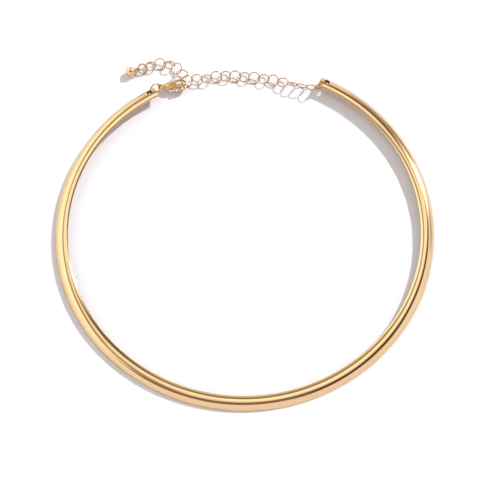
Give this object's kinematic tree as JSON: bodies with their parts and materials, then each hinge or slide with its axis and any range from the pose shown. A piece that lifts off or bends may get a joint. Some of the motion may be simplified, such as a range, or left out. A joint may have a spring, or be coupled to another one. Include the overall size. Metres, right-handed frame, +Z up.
{
  "type": "choker",
  "caption": "Rigid open choker: polished gilt collar of domed section, joined behind by jump rings, a link chain and a sprung lobster clasp, with a ball on the free tail.",
  "frame": {"origin": "centre of the neck opening, in the plane that the choker lies on", "axes": "+X to the right arm seen from the front, +Y from the front of the collar to its opening, +Z up, out of the surface"},
  "size_m": [0.1403, 0.141, 0.0055],
  "materials": {
    "collar_gold": "polished gilt steel",
    "clasp_gold": "polished gilt",
    "chain_gold": "polished gilt wire"
  },
  "bodies": {
    "choker": {"collar": "collar_gold", "left_ring": "chain_gold", "clasp_body": "clasp_gold", "right_ring": "chain_gold", "link_01": "chain_gold", "link_02": "chain_gold", "link_03": "chain_gold", "link_04": "chain_gold", "link_05": "chain_gold", "link_06": "chain_gold", "link_07": "chain_gold", "link_08": "chain_gold", "link_09": "chain_gold", "link_10": "chain_gold", "link_11": "chain_gold", "link_12": "chain_gold", "link_13": "chain_gold", "link_14": "chain_gold", "link_15": "chain_gold", "link_16": "chain_gold", "link_17": "chain_gold", "link_18": "chain_gold", "link_19": "chain_gold", "end_ring": "chain_gold", "ball_drop": "clasp_gold"},
    "lever": {"clasp_lever": "clasp_gold"}
  },
  "joints": [
    {"name": "clasp_gate", "type": "hinge", "parent": "choker", "child": "lever", "pos_m": [-0.02428, 0.0606, 0.00227], "axis": [0.027, 0.2124, 0.9768], "range_deg": [0, 20], "stiffness_Nm_per_rad": 0.004, "springref_deg": -17.19}
  ]
}
